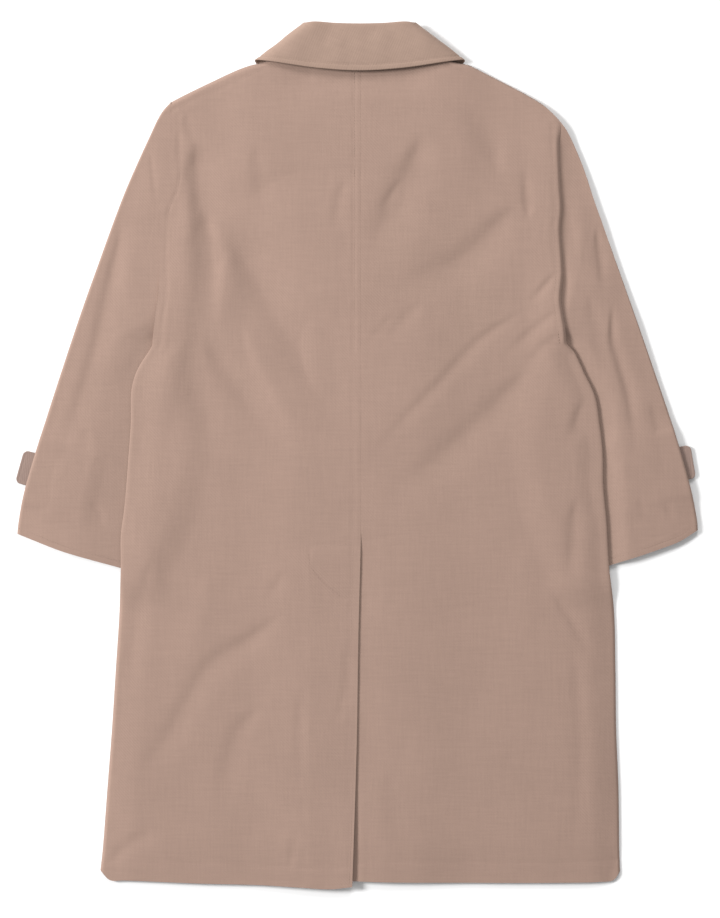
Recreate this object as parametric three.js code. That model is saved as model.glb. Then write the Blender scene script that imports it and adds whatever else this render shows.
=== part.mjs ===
// Overcoat lying flat, face down: a fall-down collar, two back panels with a centre vent,
// two overlapping fronts, set-in sleeves tucked under the sides, cuff tabs and buttons.
// Millimetres, +X across, +Y towards the collar, +Z up from the surface that the coat lies on.
// "Left" and "right" are the wearer's sides, which are also the sides seen from above.
import * as THREE from 'three';

// Driving sizes
const panelWall = 1.5;
const collarWall = 2;
const seamGap = 0.3;
const flatHeight = 8.5;          // top of the back over a front that lies on the surface
const centreRise = 2.5;          // more of it over the buttoned strip
const sleevePressed = 4.4;       // height of the sleeve where the body lies on it
const sleeveFull = 8.2;          // and where it lies free
const overSleeve = 5.6;          // underside of the front where it lies on a sleeve
const edgeRound = 6;             // width of the rounded fold along the sides
const buttonThick = 3;
const buttonedRise = 3.3;        // underside of the upper front panel, over its buttons
const frontLap = 35;             // each front runs this far past the centre
const ventLap = 42;              // width of the underlap behind the vent's flap
const ventTop = -113;
const hemShorter = 4;         // the fronts end this much above the back's hem
const collarMiddle = 4;
const backCentre = 5;            // the centre back seam's place across the coat
const buttonRadius = 11;
const buttonHeights = [330, 215, 100, -15];
const tabLength = 80;
const tabWidth = 44;
const tabButtonRadius = 8;
const tabButtonThick = 2.5;
const tabButtonIn = 32;
const tabRise = tabButtonThick + 0.3 + panelWall;
const sleeveRound = 4;
const frontInset = 3;            // the fronts end this far inside the back's turned sides
const throatY = 449;             // front neckline at the centre
const length = 1080;

const cloth = { color: 0xb1958a, roughness: 0.9, metalness: 0 };
const horn = { color: 0x6b5548, roughness: 0.45, metalness: 0 };

// Outlines of the coat: x across, y up, one row for each bend
const sides = {
  left: {
    sign: -1,
    shoulder: [[-98, 521], [-125, 510.5], [-137, 508], [-157, 501], [-225, 469], [-242, 460]],
    armhole: [[-242, 460], [-242, 443], [-242, 353], [-248, 337], [-255, 320], [-258, 264], [-258, 209],
      [-262, 181], [-266, 142]],
    frontArmhole: [[-242, 460], [-237, 390], [-235, 320], [-239, 250], [-249, 195], [-266, 142]],
    side: [[-266, 142], [-286, 110], [-293, 85], [-294, 40], [-297, -2], [-302, -65], [-307, -106],
      [-307, -145], [-309, -201], [-314, -279], [-319, -357], [-325, -435], [-331, -513], [-334, -540]],
    outerFold: [[-242, 460], [-252, 449], [-260, 436], [-266, 423], [-284, 384], [-301, 345], [-316, 306],
      [-337, 248], [-358, 189], [-384, 111], [-409, 33], [-432, -45], [-440, -84], [-442, -102]],
    innerFold: [[-266, 142], [-263, 120], [-254, 88], [-243, 50], [-238, 7], [-254, -71], [-290, -152]],
    cuff: [[-442, -102], [-386, -124], [-360, -132], [-306, -147], [-290, -152]],
    hem: [[-6, -561], [-35, -564], [-74, -562], [-126, -559], [-204, -557], [-303, -553], [-321, -553],
      [-334, -540]],
    tabEnd: [-439, -14],
    tabWay: [0.963, -0.269],
  },
  right: {
    sign: 1,
    shoulder: [[108, 520], [133, 510.5], [145, 508], [161, 500.5], [222, 469], [243, 456], [254, 446]],
    armhole: [[254, 446], [265, 431], [264, 404], [266, 348], [268, 320], [266, 292], [269, 237], [266, 201],
      [271, 167], [273, 145]],
    frontArmhole: [[254, 446], [250, 390], [246, 320], [249, 250], [257, 195], [273, 145]],
    side: [[273, 145], [283, 134], [297, 105], [310, 77], [316, 40], [320, 6], [321, -40], [325, -85],
      [329, -152], [335, -201], [337, -279], [338, -357], [341, -435], [342, -513], [343, -541]],
    outerFold: [[254, 446], [263, 436], [271, 423], [289, 384], [303, 345], [318, 306], [339, 248], [360, 189],
      [387, 111], [413, 33], [435, -45], [443, -84], [444, -97]],
    innerFold: [[273, 145], [270, 122], [261, 88], [250, 50], [245, 7], [262, -75], [295, -155]],
    cuff: [[444, -97], [420, -112], [394, -122], [368, -131], [330, -143], [295, -155]],
    hem: [[-1, -554], [30, -555], [150, -556], [264, -556], [316, -555], [334, -553], [343, -541]],
    tabEnd: [438, -8],
    tabWay: [-0.986, -0.168],
  },
};
const backNeck = [[-98, 521], [-60, 519], [5, 518.5], [70, 519], [108, 520]];

// The collar's edges round the neck, from one front end over the back to the other: x, y, z
const loop = (rows) => {
  const other = rows.slice(0, -1).reverse();
  return [...rows, ...other.map(([x, y, z]) => [2 * collarMiddle - x, y, z])];
};
const fallFold = loop([[-8, 471, 0.3], [-40, 512, 0.3], [-58, 545, 0.5], [-67, 558, 1.8], [-70, 562, 8],
  [-60, 563.5, 16.6], [-28, 561.5, 17], [collarMiddle, 560.8, 17]]);
const fallEdge = loop([[-38, 398, 0.3], [-95, 455, 0.3], [-122, 497, 0.5], [-131, 510.5, 1.5], [-132.5, 514, 8],
  [-118, 512.5, 14.5], [-52, 503, 16.2], [collarMiddle, 499.5, 16.8]]);
const standFold = loop([[-8, 466, 2.7], [-38, 506, 2.8], [-56, 544, 3.4], [-64, 557, 8], [-55, 560, 14],
  [-28, 558.5, 14.5], [collarMiddle, 557.8, 14.5]]);
const standSeam = loop([[-6, 450.5, 2.7], [-48, 472, 2.7], [-82, 504, 3.2], [-93, 522, 8], [-84, 521.5, 12.2],
  [-40, 520, 12.4], [collarMiddle, 519.5, 12.4]]);

// Largest folds of the back: from and to, width of the trough, depth (a ridge is negative)
const folds = [
  { from: [-214, 385], over: [-190, 300], to: [-90, 90], width: 20, depth: 3.0 },
  { from: [-204, 137], over: [-180, 90], to: [-150, 40], width: 16, depth: 1.6 },
  { from: [-178, 240], over: [-160, 130], to: [-60, 10], width: 22, depth: -1.6 },
  { from: [82, 400], over: [50, 330], to: [18, 260], width: 16, depth: 2.6 },
  { from: [205, 325], over: [130, 260], to: [50, 205], width: 15, depth: 2.0 },
  { from: [270, 190], over: [180, 130], to: [30, -5], width: 16, depth: 1.8 },
  { from: [245, 124], over: [150, 30], to: [20, -65], width: 18, depth: 1.6 },
  { from: [283, -60], over: [284, -110], to: [284, -190], width: 16, depth: 1.6 },
  { from: [264, -135], over: [285, -200], to: [303, -255], width: 14, depth: 1.4 },
  { from: [-268, -125], over: [-280, -180], to: [-288, -235], width: 16, depth: 1.6 },
  { from: [-87, -200], over: [-205, -270], to: [-308, -425], width: 18, depth: 1.6 },
];

const clamp = THREE.MathUtils.clamp;
const smooth = (value, low, high) => THREE.MathUtils.smoothstep(value, low, high);
const mix = THREE.MathUtils.lerp;

// A curve through a table's rows, as a function of the share of its length
function through(rows) {
  const places = rows.map(([x, y, z = 0]) => new THREE.Vector3(x, y, z));
  const curve = new THREE.CatmullRomCurve3(places, false, 'centripetal');
  return (share) => curve.getPointAt(clamp(share, 0, 1));
}

// A curve of two stretches that meet at the given share
function joined(first, second, meet) {
  return (share) => (share < meet ? first(share / meet) : second((share - meet) / (1 - meet)));
}

const reversed = (curve) => (share) => curve(1 - share);

// A patch between four edges: low and high run along u, near and far run along v
function patch(low, high, near, far) {
  const corners = [low(0), low(1), high(0), high(1)];
  return (u, v) => {
    const across = low(u).multiplyScalar(1 - v).add(high(u).multiplyScalar(v));
    const along = near(v).multiplyScalar(1 - u).add(far(v).multiplyScalar(u));
    const bilinear = corners[0].clone().multiplyScalar((1 - u) * (1 - v))
      .add(corners[1].clone().multiplyScalar(u * (1 - v)))
      .add(corners[2].clone().multiplyScalar((1 - u) * v))
      .add(corners[3].clone().multiplyScalar(u * v));
    return across.add(along).sub(bilinear);
  };
}

// x of an outline at a height y
function across(rows, y) {
  for (let i = 1; i < rows.length; i++) {
    const [x0, y0] = rows[i - 1];
    const [x1, y1] = rows[i];
    if ((y - y0) * (y - y1) <= 0 && y0 !== y1) return mix(x0, x1, (y - y0) / (y1 - y0));
  }
  return y > rows[0][1] ? rows[0][0] : rows[rows.length - 1][0];
}

// How far a point is sunk by the folds
function foldDepth(x, y) {
  let sunk = 0;
  for (const fold of folds) {
    const [ax, ay] = fold.from;
    const [bx, by] = fold.to;
    const along = (x - ax) * (bx - ax) + (y - ay) * (by - ay);
    const share = clamp(along / ((bx - ax) ** 2 + (by - ay) ** 2), 0, 1);
    const lean = 4 * share * (1 - share);
    const cx = mix(ax, bx, share) + lean * (fold.over[0] - (ax + bx) / 2);
    const cy = mix(ay, by, share) + lean * (fold.over[1] - (ay + by) / 2);
    const reach = Math.hypot(x - cx, y - cy) / fold.width;
    sunk += fold.depth * Math.exp(-reach * reach * 1.5) * (0.35 + 0.65 * Math.sqrt(lean));
  }
  return sunk;
}

// How much of a sleeve lies under the body at a point, from 0 to 1
function overHiddenSleeve(side, x, y) {
  const inner = across(side.innerFold, clamp(y, -152, 142));
  const inside = (inner - x) * side.sign;
  return (1 - smooth(inside, 8, 55)) * smooth(y, -205, -160) * (1 - smooth(y, 190, 250));
}

// Underside of a front panel: on the surface, but raised over the buttons, collar and sleeve
function frontUnderside(side, x, y) {
  const outward = x * side.sign;
  const strip = side.sign < 0
    ? buttonedRise * (1 - smooth(outward, 45, 100))
    : (buttonedRise + panelWall + 0.6) * (1 - smooth(outward, 50, 120));
  const collar = 3.4 * (1 - smooth(outward, 140, 190)) * smooth(y, 330, 385);
  return Math.max(strip, collar, overSleeve * overHiddenSleeve(side, x, y));
}

// Top of the back, before the rounding along its edges
function backTop(side, x, y) {
  const centre = centreRise * (1 - smooth(Math.abs(x), 70, 150));
  const neck = 3.2 * (1 - smooth(Math.abs(x), 130, 190)) * smooth(y, 330, 385);
  const sleeve = 3.4 * overHiddenSleeve(side, x, y);
  return flatHeight + Math.max(centre, neck, sleeve);
}

// A cloth wall from a grid of points on its outer face; inward is the side that the wall lies on
function wall(grid, thickness, inward) {
  const rows = grid.length;
  const columns = grid[0].length;
  const outer = new THREE.BufferGeometry();
  const places = grid.flat().flatMap((point) => [point.x, point.y, point.z]);
  outer.setAttribute('position', new THREE.Float32BufferAttribute(places, 3));
  const faces = [];
  for (let r = 0; r + 1 < rows; r++) {
    for (let c = 0; c + 1 < columns; c++) {
      const a = r * columns + c;
      const b = a + columns;
      faces.push(a, a + 1, b + 1, a, b + 1, b);
    }
  }
  outer.setIndex(faces);
  outer.computeVertexNormals();
  const normals = outer.getAttribute('normal');
  const count = rows * columns;
  const all = places.slice();
  for (let i = 0; i < count; i++) {
    all.push(places[3 * i] + normals.getX(i) * thickness * inward);
    all.push(places[3 * i + 1] + normals.getY(i) * thickness * inward);
    all.push(places[3 * i + 2] + normals.getZ(i) * thickness * inward);
  }
  const triangles = [];
  for (let i = 0; i < faces.length; i += 3) {
    const [a, b, c] = faces.slice(i, i + 3);
    triangles.push([a, b, c], [c + count, b + count, a + count]);
  }
  const rim = [];
  for (let c = 0; c < columns; c++) rim.push(c);
  for (let r = 1; r < rows; r++) rim.push(r * columns + columns - 1);
  for (let c = columns - 2; c >= 0; c--) rim.push((rows - 1) * columns + c);
  for (let r = rows - 2; r > 0; r--) rim.push(r * columns);
  for (let i = 0; i < rim.length; i++) {
    const a = rim[i];
    const b = rim[(i + 1) % rim.length];
    triangles.push([a, a + count, b + count], [a, b + count, b]);
  }
  const geometry = new THREE.BufferGeometry();
  geometry.setAttribute('position', new THREE.Float32BufferAttribute(all, 3));
  geometry.setIndex(triangles.flatMap(([a, b, c]) => (inward < 0 ? [a, b, c] : [c, b, a])));
  geometry.computeVertexNormals();
  return geometry;
}

// Shares of the armhole from the shoulder to the underarm, and of the side seam below it, from the hem:
// both panels and the sleeve use them, so that their edges match
const armholeShares = [0, 0.001, 0.004, 0.01, 0.018, 0.07, 0.14, 0.22, 0.3, 0.37, 0.43, 0.5, 0.58, 0.67, 0.76,
  0.85, 0.92, 0.97, 1];
const sleeveRings = [0, 0.03, 0.07, 0.12, 0.18, 0.25, 0.33, 0.42, 0.51, 0.6, 0.68, 0.75, 0.8, 0.825, 0.86,
  0.895, 0.925, 0.96, 1];
const sideSteps = 20;
const underarm = 0.67;
const panelRows = [];
for (let i = 0; i < sideSteps; i++) panelRows.push(underarm * i / sideSteps);
for (const share of [...armholeShares].reverse()) panelRows.push(1 - (1 - underarm) * share);

// Shares across a panel, closer together towards its rounded side
function panelColumns(steps, width) {
  const list = [];
  for (let i = 0; i <= steps; i++) list.push((1 - edgeRound / width) * i / steps);
  for (const degrees of [25, 50, 72, 90]) {
    list.push(1 - (edgeRound / width) * (1 - Math.sin(THREE.MathUtils.degToRad(degrees))));
  }
  return list;
}

// How round an edge is: 0 on the flat, 1 at the very edge
function edgeDrop(distance, reach) {
  const inside = clamp(distance / reach, 0, 1);
  return 1 - Math.sqrt(1 - (1 - inside) ** 2);
}

const coat = new THREE.Group();

function add(name, geometry, finish) {
  const mesh = new THREE.Mesh(geometry, new THREE.MeshStandardMaterial(finish));
  mesh.name = name;
  coat.add(mesh);
  return mesh;
}

// Sides and armhole of a panel as one curve from the hem up
function outerEdge(side, armhole) {
  return joined(reversed(through(side.side)), reversed(through(armhole)), underarm);
}

// The flap is a little proud, and the underlap dips beneath it
function ventLift(left, x, y) {
  if (left) return 0.8 * (1 - smooth(-x, 50, 110)) * (1 - smooth(y, ventTop - 30, ventTop + 45));
  return -1.9 * (1 - smooth(x, 6, 40)) * (1 - smooth(y, ventTop + 20, ventTop + 75));
}

// A back panel, from the centre seam to the side and armhole; its side turns down round the front's edge
function backPanel(name, side) {
  const left = side.sign < 0;
  const seam = backCentre + side.sign * seamGap / 2;
  const neckRows = backNeck.filter(([x]) => (x - seam) * side.sign > 1);
  const neck = through([[seam, 518.5], ...(left ? neckRows.reverse() : neckRows)]);
  const top = joined(neck, through(side.shoulder), 0.4);
  const vent = through(left
    ? [[-6, -561], [-4, -503], [0, -370], [2, -240], [seam, ventTop]]
    : [[-ventLap, -553], [-ventLap + 2, -370], [-ventLap + 5, ventTop - 50], [-18, ventTop - 24],
      [seam, ventTop - 4]]);
  const above = through([[seam, left ? ventTop : ventTop - 4], [seam, 200], [seam, 518.5]]);
  const low = through(left ? side.hem : [[-ventLap, -553], ...side.hem]);
  const place = patch(low, top, joined(vent, above, 0.42), outerEdge(side, side.armhole));
  const grid = panelRows.map((v) => {
    const width = place(0, v).distanceTo(place(1, v));
    const row = panelColumns(12, width).map((u) => {
      const { x, y } = place(u, v);
      const toSide = (1 - u) * width;
      const toTop = (1 - v) * length;
      const under = frontUnderside(side, x, y);
      const lapped = Math.abs(x) < 60 ? Math.max(under, frontUnderside(sides.right, Math.abs(x), y)) : under;
      const sunk = foldDepth(x, y) * smooth(toSide, 0, 25);
      const height = Math.max(backTop(side, x, y) - sunk, lapped + 2 * panelWall + 0.8) + ventLift(left, x, y);
      const sideTurn = edgeDrop(toSide, edgeRound) * (1 - smooth(v, underarm - 0.03, underarm + 0.02));
      const shoulderTurn = edgeDrop(toTop, edgeRound) * smooth(u, 0.4, 0.5);
      return new THREE.Vector3(x, y, mix(height, under + seamGap, Math.max(sideTurn, shoulderTurn)));
    });
    return left ? row.reverse() : row;
  });
  add(name, wall(grid, panelWall, -1), cloth);
}

// A front panel, from its lapped edge to the side and armhole, just inside the back's turned edge
function frontPanel(name, side) {
  const left = side.sign < 0;
  const lapEdge = -side.sign * frontLap;
  const [neckX, neckY] = side.shoulder[0];
  const neck = through([[lapEdge, throatY], [0, throatY], [side.sign * 45, throatY + 20],
    [side.sign * 88, throatY + 50], [neckX, neckY - 3]]);
  const top = joined(neck, through(side.shoulder), 0.5);
  const hemY = -554 + hemShorter;
  const hemRows = side.hem.filter(([x]) => x * side.sign > 100 && x * side.sign < 320);
  const [cornerX, cornerY] = side.hem[side.hem.length - 1];
  const low = through([[lapEdge, hemY], [0, hemY], [side.sign * 60, hemY],
    ...hemRows.map(([x, y]) => [x, y + hemShorter]), [cornerX, cornerY + 3]]);
  const centre = through([[lapEdge, hemY], [lapEdge, 0], [lapEdge, throatY]]);
  const place = patch(low, top, centre, outerEdge(side, side.frontArmhole));
  const grid = panelRows.map((v) => {
    const width = place(0, v).distanceTo(place(1, v));
    const inset = frontInset * (1 - smooth(v, underarm - 0.03, underarm + 0.02));
    const row = [];
    for (let i = 0; i <= 10; i++) {
      const { x, y } = place((i / 10) * (1 - inset / width), v);
      const lowered = y - 1.6 * frontInset * smooth(v, 0.9, 1);
      row.push(new THREE.Vector3(x, lowered, frontUnderside(side, x, lowered)));
    }
    return left ? row : row.reverse();
  });
  add(name, wall(grid, panelWall, -1), cloth);
}

// How far a sleeve's underside is lifted by its cuff tab and button
function overTab(side, x, y) {
  const { along, aside } = tabPlace(side, x, y);
  const beside = 1 - smooth(Math.abs(aside), tabWidth / 2 + 16, tabWidth / 2 + 46);
  return beside * (1 - smooth(along, tabLength + 10, tabLength + 34));
}

// Place on a cuff tab: along it from its end, and aside from its middle
function tabPlace(side, x, y) {
  const [ex, ey] = side.tabEnd;
  const [dx, dy] = side.tabWay;
  return { along: (x - ex) * dx + (y - ey) * dy, aside: (y - ey) * dx - (x - ex) * dy };
}

// Top of a sleeve: level with the back at the armhole, full where it lies free, pressed under the body
function sleeveTop(side, x, y, t) {
  const edge = across(side.side, clamp(y, -152, 142));
  const outside = (x - edge) * side.sign;
  const full = smooth(outside, 2, 24);
  const free = mix(sleevePressed, sleeveFull, full) + 1.2 * overTab(side, x, y) * full;
  const seam = mix(sleevePressed, flatHeight, smooth(y, 160, 240));
  return mix(seam, free, smooth(t, 0, 0.2));
}

// A sleeve: rings from the armhole to the cuff, each over the top and back beneath, with a wall all round
function sleeve(name, side) {
  const outerFold = through(side.outerFold);
  const innerFold = through(side.innerFold);
  const cuff = through(side.cuff);
  const upper = patch(through(side.armhole), cuff, outerFold, innerFold);
  const lower = patch(through(side.frontArmhole), cuff, outerFold, innerFold);
  const rings = sleeveRings.length - 1;
  const last = armholeShares.length - 1;
  const around = 2 * last;
  const skin = (inset) => {
    const points = [];
    for (let r = 0; r <= rings; r++) {
      const t = sleeveRings[r];
      const width = upper(0, t).distanceTo(upper(1, t));
      for (let k = 0; k < around; k++) {
        const top = k <= last;
        const c = armholeShares[top ? k : around - k];
        const share = mix(inset / width, 1 - inset / width, c);
        const { x, y } = (top ? upper : lower)(share, t);
        const turned = edgeDrop(Math.min(c, 1 - c) * width, sleeveRound);
        const lifted = (tabRise + seamGap) * overTab(side, x, y) + inset;
        const high = Math.max(sleeveTop(side, x, y, t), lifted - inset + sleevePressed) - inset;
        const middle = (lifted + high) / 2;
        const z = mix(top ? high : lifted, middle, turned);
        points.push([x + side.sign * (seamGap + 0.25) * (1 - t), y, z]);
      }
    }
    return points;
  };
  const outside = skin(0);
  const inside = skin(panelWall);
  const count = outside.length;
  const triangles = [];
  const quad = (a, b, c, d) => triangles.push(a, b, c, a, c, d);
  for (let k = 0; k < around; k++) {
    const next = (k + 1) % around;
    for (let r = 0; r < rings; r++) {
      const a = r * around;
      const b = a + around;
      quad(a + k, a + next, b + next, b + k);
      quad(count + a + next, count + a + k, count + b + k, count + b + next);
    }
    const end = rings * around;
    quad(k, count + k, count + next, next);
    quad(end + k, end + next, count + end + next, count + end + k);
  }
  if (side.sign < 0) triangles.reverse();
  const geometry = new THREE.BufferGeometry();
  geometry.setAttribute('position', new THREE.Float32BufferAttribute([...outside, ...inside].flat(), 3));
  geometry.setIndex(triangles);
  geometry.computeVertexNormals();
  add(name, geometry, cloth);
}

// A collar piece: a strip round the neck between two edges, each a table of places in a loop
function collarPiece(name, topEdge, lowEdge, thickness) {
  const space = (rows) => {
    const places = rows.map((row) => new THREE.Vector3(...row));
    return new THREE.CatmullRomCurve3(places, false, 'centripetal');
  };
  const high = space(topEdge);
  const low = space(lowEdge);
  const steps = 4 * (topEdge.length - 1);
  const grid = [];
  for (let r = 0; r <= 3; r++) {
    const row = [];
    for (let i = 0; i <= steps; i++) row.push(high.getPoint(i / steps).lerp(low.getPoint(i / steps), r / 3));
    grid.push(row);
  }
  add(name, wall(grid, thickness, 1), cloth);
}

// A cuff tab: a strap with rounded end corners, beneath the sleeve
function cuffTab(name, side) {
  const half = tabWidth / 2;
  const corner = 6;
  const shape = new THREE.Shape();
  shape.moveTo(corner, -half);
  shape.lineTo(tabLength, -half);
  shape.lineTo(tabLength, half);
  shape.lineTo(corner, half);
  shape.quadraticCurveTo(0, half, 0, half - corner);
  shape.lineTo(0, -half + corner);
  shape.quadraticCurveTo(0, -half, corner, -half);
  const options = { depth: panelWall, bevelEnabled: false, curveSegments: 4 };
  const geometry = new THREE.ExtrudeGeometry(shape, options);
  const [dx, dy] = side.tabWay;
  const mesh = add(name, geometry, cloth);
  mesh.rotation.z = Math.atan2(dy, dx);
  mesh.position.set(...side.tabEnd, tabRise - panelWall);
}

// A button: a dished disc with a rounded rim, its face down
function button(name, x, y, radius, thick) {
  const profile = [[0, 0.8], [radius * 0.62, 0.8], [radius * 0.72, 0], [radius * 0.9, 0], [radius, 0.9],
    [radius, thick], [0, thick]];
  const geometry = new THREE.LatheGeometry(profile.map(([r, z]) => new THREE.Vector2(r, z)), 14);
  geometry.rotateX(Math.PI / 2);
  const mesh = add(name, geometry, horn);
  mesh.position.set(x, y, 0);
}

backPanel('back_left', sides.left);
backPanel('back_right', sides.right);
frontPanel('front_left', sides.left);
frontPanel('front_right', sides.right);
sleeve('sleeve_left', sides.left);
sleeve('sleeve_right', sides.right);
collarPiece('collar_fall', fallFold, fallEdge, collarWall);
collarPiece('collar_stand', standFold, standSeam, panelWall);
cuffTab('tab_left', sides.left);
cuffTab('tab_right', sides.right);
buttonHeights.forEach((y, i) => button(`button_${i + 1}`, 0, y, buttonRadius, buttonThick));
for (const [name, side] of Object.entries(sides)) {
  const [ex, ey] = side.tabEnd;
  const [dx, dy] = side.tabWay;
  button(`tab_button_${name}`, ex + dx * tabButtonIn, ey + dy * tabButtonIn, tabButtonRadius, tabButtonThick);
}

export default coat;
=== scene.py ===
"""A taupe cotton overcoat lying flat, face down, seen from above.

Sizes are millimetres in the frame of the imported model, turned to metres where a mesh is made.
Every cloth piece is a thin shell on the form of its solid, with its creases, seams and stitches.
"""
import math
import random

import bpy
import numpy as np
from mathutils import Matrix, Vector


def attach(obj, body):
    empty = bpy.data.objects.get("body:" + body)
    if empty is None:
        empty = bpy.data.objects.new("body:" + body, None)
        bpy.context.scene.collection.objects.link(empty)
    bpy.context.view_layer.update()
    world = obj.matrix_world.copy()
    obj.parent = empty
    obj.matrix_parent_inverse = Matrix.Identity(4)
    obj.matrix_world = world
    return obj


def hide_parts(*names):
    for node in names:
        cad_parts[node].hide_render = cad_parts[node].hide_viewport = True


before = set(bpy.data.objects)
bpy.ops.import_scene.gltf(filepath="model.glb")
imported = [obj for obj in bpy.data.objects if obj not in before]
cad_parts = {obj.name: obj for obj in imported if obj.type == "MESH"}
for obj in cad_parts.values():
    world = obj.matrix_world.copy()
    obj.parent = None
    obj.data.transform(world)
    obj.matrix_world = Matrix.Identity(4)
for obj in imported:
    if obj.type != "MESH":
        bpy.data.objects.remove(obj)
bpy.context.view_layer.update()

METRE = 0.001

# The photo: its height, its scale and the place under its middle
PHOTO_HEIGHT = 918
MM_PER_PIXEL = 1.3
PHOTO_MIDDLE = (4.2, -4.7)

# Walls, gaps and the heights of the layers above the surface
PANEL_WALL = 1.4
SOLID_WALL = 1.5
COLLAR_WALL = 1.9
SEAM_GAP = 0.3
SEWN_OVERLAP = 0.15
FLAT_HEIGHT = 8.5
CENTRE_RISE = 2.5
NECK_RISE = 3.2
BUTTONED_RISE = 3.3
LAP_RISE = 2.1
COLLAR_END_RISE = 3.4
OVER_SLEEVE = 5.6
BACK_OVER_SLEEVE = 3.4
BACK_OVER_FRONT = 3.4
SLEEVE_PRESSED = 4.4
SLEEVE_FULL = 8.2
BUTTON_THICK = 3.0
TAB_BUTTON_THICK = 2.5
TAB_WALL = 1.4
TAB_RISE = TAB_BUTTON_THICK + SEAM_GAP + SOLID_WALL

# The body's main places and widths
COAT_LENGTH = 1080
HEM_Y = -554
NECK_Y = 518.5
THROAT_Y = 449
UNDERARM_Y = 142
CUFF_Y = -152
UNDERARM_SHARE = 0.67
HEM_SHORTER = 4
BACK_CENTRE = 5
COLLAR_MIDDLE = 4
FRONT_LAP = 35
FRONT_INSET = 3.0
VENT_LAP = 42
VENT_TOP = -113
EDGE_ROUND = 7.0
SLEEVE_ROUND = 4.5

# Buttons and tabs
BUTTON_RADIUS = 11
BUTTON_PLACES = (330, 215, 100, -15)
TAB_LENGTH = 80
TAB_WIDTH = 44
TAB_BUTTON_RADIUS = 8
TAB_BUTTON_IN = 32

# Sewing: stitches, and the small ridges and ditches that it leaves
STITCH_LENGTH = 2.5
STITCH_PITCH = 3.6
COLLAR_STITCH_IN = 7.5
SEAM_DITCH = 0.12
SEAM_RIDGE = 0.08
FLAP_RIDGE = 0.35
HEM_RIDGE = 0.2

# Cells of the body's grids, and how the creases are drawn
CELL = 3.3
CREASE_GAIN = 1.25
CREASE_POINTS = 30
TOWARDS_LIGHT = (-0.92, 0.39)
FAR_AWAY = 1e9

# Outlines, x and y for each bend, on the wearer's left and right. The back sinks by side_fall within
# side_reach of its side. A sleeve rises to its full height between the two distances of sleeve_rise
# outside the body, and to the back's height between the two places along the coat of arm_rise.
LEFT = {
    "name": "left", "sign": -1,
    "side_fall": 2.8, "side_reach": 46, "sleeve_rise": (-8, 60), "arm_rise": (135, 172),
    "shoulder": [(-98, 521), (-125, 510.5), (-137, 508), (-157, 501), (-225, 469), (-242, 460)],
    "armhole": [(-242, 460), (-242, 443), (-242, 353), (-248, 337), (-255, 320), (-258, 264), (-258, 209),
                (-262, 181), (-266, 142)],
    "front_armhole": [(-242, 460), (-237, 390), (-235, 320), (-239, 250), (-249, 195), (-266, 142)],
    "side": [(-266, 142), (-286, 110), (-293, 85), (-294, 40), (-297, -2), (-302, -65), (-307, -106),
             (-307, -145), (-309, -201), (-314, -279), (-319, -357), (-325, -435), (-331, -513),
             (-334, -540)],
    "outer_fold": [(-242, 460), (-252, 449), (-260, 436), (-266, 423), (-284, 384), (-301, 345),
                   (-316, 306), (-337, 248), (-358, 189), (-384, 111), (-409, 33), (-432, -45), (-440, -84),
                   (-442, -102)],
    "inner_fold": [(-266, 142), (-263, 120), (-254, 88), (-243, 50), (-238, 7), (-254, -71), (-290, -152)],
    "cuff": [(-442, -102), (-386, -124), (-360, -132), (-306, -147), (-290, -152)],
    "hem": [(-6, -561), (-35, -564), (-74, -562), (-126, -559), (-204, -557), (-303, -553), (-321, -553),
            (-334, -540)],
    "tab_end": (-439, -14), "tab_way": (0.963, -0.269),
}
RIGHT = {
    "name": "right", "sign": 1,
    "side_fall": 4.4, "side_reach": 44, "sleeve_rise": (2, 30), "arm_rise": (160, 240),
    "shoulder": [(108, 520), (133, 510.5), (145, 508), (161, 500.5), (222, 469), (243, 456), (254, 446)],
    "armhole": [(254, 446), (265, 431), (264, 404), (266, 348), (268, 320), (266, 292), (269, 237),
                (266, 201), (271, 167), (273, 145)],
    "front_armhole": [(254, 446), (250, 390), (246, 320), (249, 250), (257, 195), (273, 145)],
    "side": [(273, 145), (283, 134), (297, 105), (310, 77), (316, 40), (320, 6), (321, -40), (325, -85),
             (329, -152), (335, -201), (337, -279), (338, -357), (341, -435), (342, -513), (343, -541)],
    "outer_fold": [(254, 446), (263, 436), (271, 423), (289, 384), (303, 345), (318, 306), (339, 248),
                   (360, 189), (387, 111), (413, 33), (435, -45), (443, -84), (444, -97)],
    "inner_fold": [(273, 145), (270, 122), (261, 88), (250, 50), (245, 7), (262, -75), (295, -155)],
    "cuff": [(444, -97), (420, -112), (394, -122), (368, -131), (330, -143), (295, -155)],
    "hem": [(-1, -554), (30, -555), (150, -556), (264, -556), (316, -555), (334, -553), (343, -541)],
    "tab_end": (438, -8), "tab_way": (-0.986, -0.168),
}
BACK_NECK = [(-98, 521), (-60, 519), (5, 518.5), (70, 519), (108, 520)]

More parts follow.
